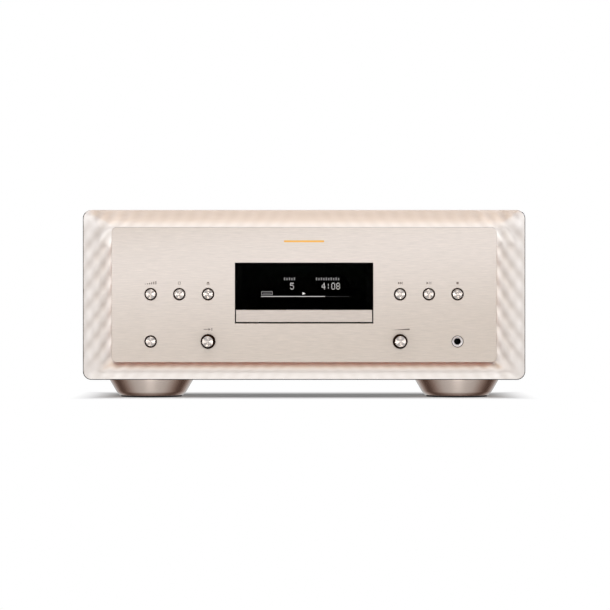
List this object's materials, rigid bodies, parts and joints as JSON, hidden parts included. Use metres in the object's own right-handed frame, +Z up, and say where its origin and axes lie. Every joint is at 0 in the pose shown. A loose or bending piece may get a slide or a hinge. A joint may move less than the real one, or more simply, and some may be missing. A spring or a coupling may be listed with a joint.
{
  "type": "disc player",
  "caption": "Full-size hi-fi disc player with a rippled front panel, floating brushed plate, display, loading tray, push buttons, knobs and turned feet.",
  "frame": {"origin": "on the floor, under the middle of the player's bounding box", "axes": "+X to the player's right as seen from the front, +Y to the back, +Z up"},
  "size_m": [0.44, 0.4174, 0.188],
  "materials": {
    "wave_metal": "fine satin anodised, champagne",
    "brushed_metal": "horizontally brushed anodised, champagne",
    "spun_metal": "spun",
    "case_metal": "satin anodised, champagne",
    "foot_metal": "turned",
    "sheet_steel": "plated",
    "dark_metal": "dark satin",
    "rear_paint": "fine matt paint",
    "pad_rubber": "matt",
    "window_dark": "polished",
    "black_plastic": "fine texture",
    "white_plastic": "moulded",
    "tray_plastic": "fine texture",
    "board_green": "solder mask",
    "motor_steel": "drawn",
    "contact_gold": "polished",
    "can_paint": "satin",
    "sleeve": "shrink sleeve",
    "ribbon": "flat cable",
    "belt_rubber": "matt",
    "lens_glass": "polished"
  },
  "bodies": {
    "chassis": {"base_plate": "sheet_steel", "wave_panel": "wave_metal", "plate_spacer": "dark_metal", "front_plate": "brushed_metal", "left_side_panel": "case_metal", "right_side_panel": "case_metal", "top_cover": "case_metal", "rear_panel": "rear_paint", "front_left_foot": "foot_metal", "front_right_foot": "foot_metal", "rear_left_foot": "foot_metal", "rear_right_foot": "foot_metal", "foot_pads": "pad_rubber", "foot_bolts": "motor_steel", "casing_screws": "dark_metal", "display_window": "window_dark", "display_module": "black_plastic", "button_rings": "dark_metal", "knob_rings": "dark_metal", "input_encoder": "black_plastic", "level_control": "black_plastic", "phones_ring": "spun_metal", "phones_socket": "black_plastic", "control_boards": "board_green", "mech_frame": "tray_plastic", "drive_belt": "belt_rubber", "loading_motor": "motor_steel", "clamp_bridge": "sheet_steel", "transformer_can": "can_paint", "power_board": "board_green", "capacitors": "sleeve", "signal_boards": "board_green", "wiring": "ribbon", "ac_inlet": "black_plastic", "rear_sockets": "contact_gold"},
    "tray": {"tray": "tray_plastic", "tray_door": "brushed_metal"},
    "loading_gear": {"loading_gear": "white_plastic"},
    "motor_pulley": {"motor_pulley": "contact_gold"},
    "traverse": {"traverse_plate": "sheet_steel", "guide_rods": "motor_steel", "spindle_motor": "motor_steel", "sled_motor": "motor_steel"},
    "lift_cam": {"lift_cam": "white_plastic"},
    "turntable": {"turntable": "black_plastic"},
    "clamp_puck": {"clamp_puck": "white_plastic"},
    "pickup": {"pickup_sled": "black_plastic", "pickup_lens": "lens_glass"},
    "sled_gear": {"sled_gear": "white_plastic"},
    "input_knob": {"input_knob": "spun_metal", "input_shaft": "motor_steel"},
    "level_knob": {"level_knob": "spun_metal", "level_shaft": "motor_steel"},
    "power_button": {"power_button": "spun_metal"},
    "dimmer_button": {"dimmer_button": "spun_metal"},
    "layer_button": {"layer_button": "spun_metal"},
    "eject_button": {"eject_button": "spun_metal"},
    "skip_button": {"skip_button": "spun_metal"},
    "play_button": {"play_button": "spun_metal"},
    "stop_button": {"stop_button": "spun_metal"}
  },
  "joints": [
    {"name": "tray_slide", "type": "slide", "parent": "chassis", "child": "tray", "axis": [0, -1, 0], "range_m": [0, 0.1355]},
    {"name": "loading_gear_spin", "type": "hinge", "parent": "chassis", "child": "loading_gear", "pos_m": [-0.051, -0.15325, 0.07725], "axis": [0, 0, -1], "range_deg": [0, 1115]},
    {"name": "motor_pulley_spin", "type": "hinge", "parent": "chassis", "child": "motor_pulley", "pos_m": [-0.051, -0.09925, 0.07725], "axis": [0, 0, -1], "range_deg": [0, 4450]},
    {"name": "traverse_lift", "type": "slide", "parent": "chassis", "child": "traverse", "axis": [0, 0, 1], "range_m": [0, 0.009]},
    {"name": "cam_slide", "type": "slide", "parent": "chassis", "child": "lift_cam", "axis": [1, 0, 0], "range_m": [0, 0.0241]},
    {"name": "turntable_spin", "type": "hinge", "parent": "traverse", "child": "turntable", "pos_m": [0, -0.12825, 0.07725], "axis": [0, 0, 1], "continuous": true},
    {"name": "puck_spin", "type": "hinge", "parent": "chassis", "child": "clamp_puck", "pos_m": [0, -0.12825, 0.09425], "axis": [0, 0, 1], "continuous": true},
    {"name": "sled_slide", "type": "slide", "parent": "traverse", "child": "pickup", "axis": [0, 1, 0], "range_m": [-0.017, 0.018]},
    {"name": "sled_gear_spin", "type": "hinge", "parent": "traverse", "child": "sled_gear", "pos_m": [0.0346, -0.07825, 0.06225], "axis": [0, 0, -1], "range_deg": [-150, 150]},
    {"name": "input_knob_turn", "type": "hinge", "parent": "chassis", "child": "input_knob", "pos_m": [-0.095, -0.19825, 0.0573], "axis": [0, 1, 0], "continuous": true},
    {"name": "level_knob_turn", "type": "hinge", "parent": "chassis", "child": "level_knob", "pos_m": [0.095, -0.19825, 0.0573], "axis": [0, 1, 0], "range_deg": [-150, 150]},
    {"name": "power_press", "type": "slide", "parent": "chassis", "child": "power_button", "axis": [0, 1, 0], "range_m": [0, 0.001], "stiffness_N_per_m": 900, "springref_m": -0.0008},
    {"name": "dimmer_press", "type": "slide", "parent": "chassis", "child": "dimmer_button", "axis": [0, 1, 0], "range_m": [0, 0.001], "stiffness_N_per_m": 900, "springref_m": -0.0008},
    {"name": "layer_press", "type": "slide", "parent": "chassis", "child": "layer_button", "axis": [0, 1, 0], "range_m": [0, 0.001], "stiffness_N_per_m": 900, "springref_m": -0.0008},
    {"name": "eject_press", "type": "slide", "parent": "chassis", "child": "eject_button", "axis": [0, 1, 0], "range_m": [0, 0.001], "stiffness_N_per_m": 900, "springref_m": -0.0008},
    {"name": "skip_press", "type": "slide", "parent": "chassis", "child": "skip_button", "axis": [0, 1, 0], "range_m": [0, 0.001], "stiffness_N_per_m": 900, "springref_m": -0.0008},
    {"name": "play_press", "type": "slide", "parent": "chassis", "child": "play_button", "axis": [0, 1, 0], "range_m": [0, 0.001], "stiffness_N_per_m": 900, "springref_m": -0.0008},
    {"name": "stop_press", "type": "slide", "parent": "chassis", "child": "stop_button", "axis": [0, 1, 0], "range_m": [0, 0.001], "stiffness_N_per_m": 900, "springref_m": -0.0008}
  ],
  "couplings": [
    {"joint": "loading_gear_spin", "follows": "tray_slide", "rad_per_m": 142.86},
    {"joint": "motor_pulley_spin", "follows": "tray_slide", "rad_per_m": 571.43},
    {"joint": "cam_slide", "follows": "traverse_lift", "ratio": 2.6667},
    {"joint": "puck_spin", "follows": "turntable_spin", "ratio": 1},
    {"joint": "sled_gear_spin", "follows": "sled_slide", "rad_per_m": 142.86}
  ]
}
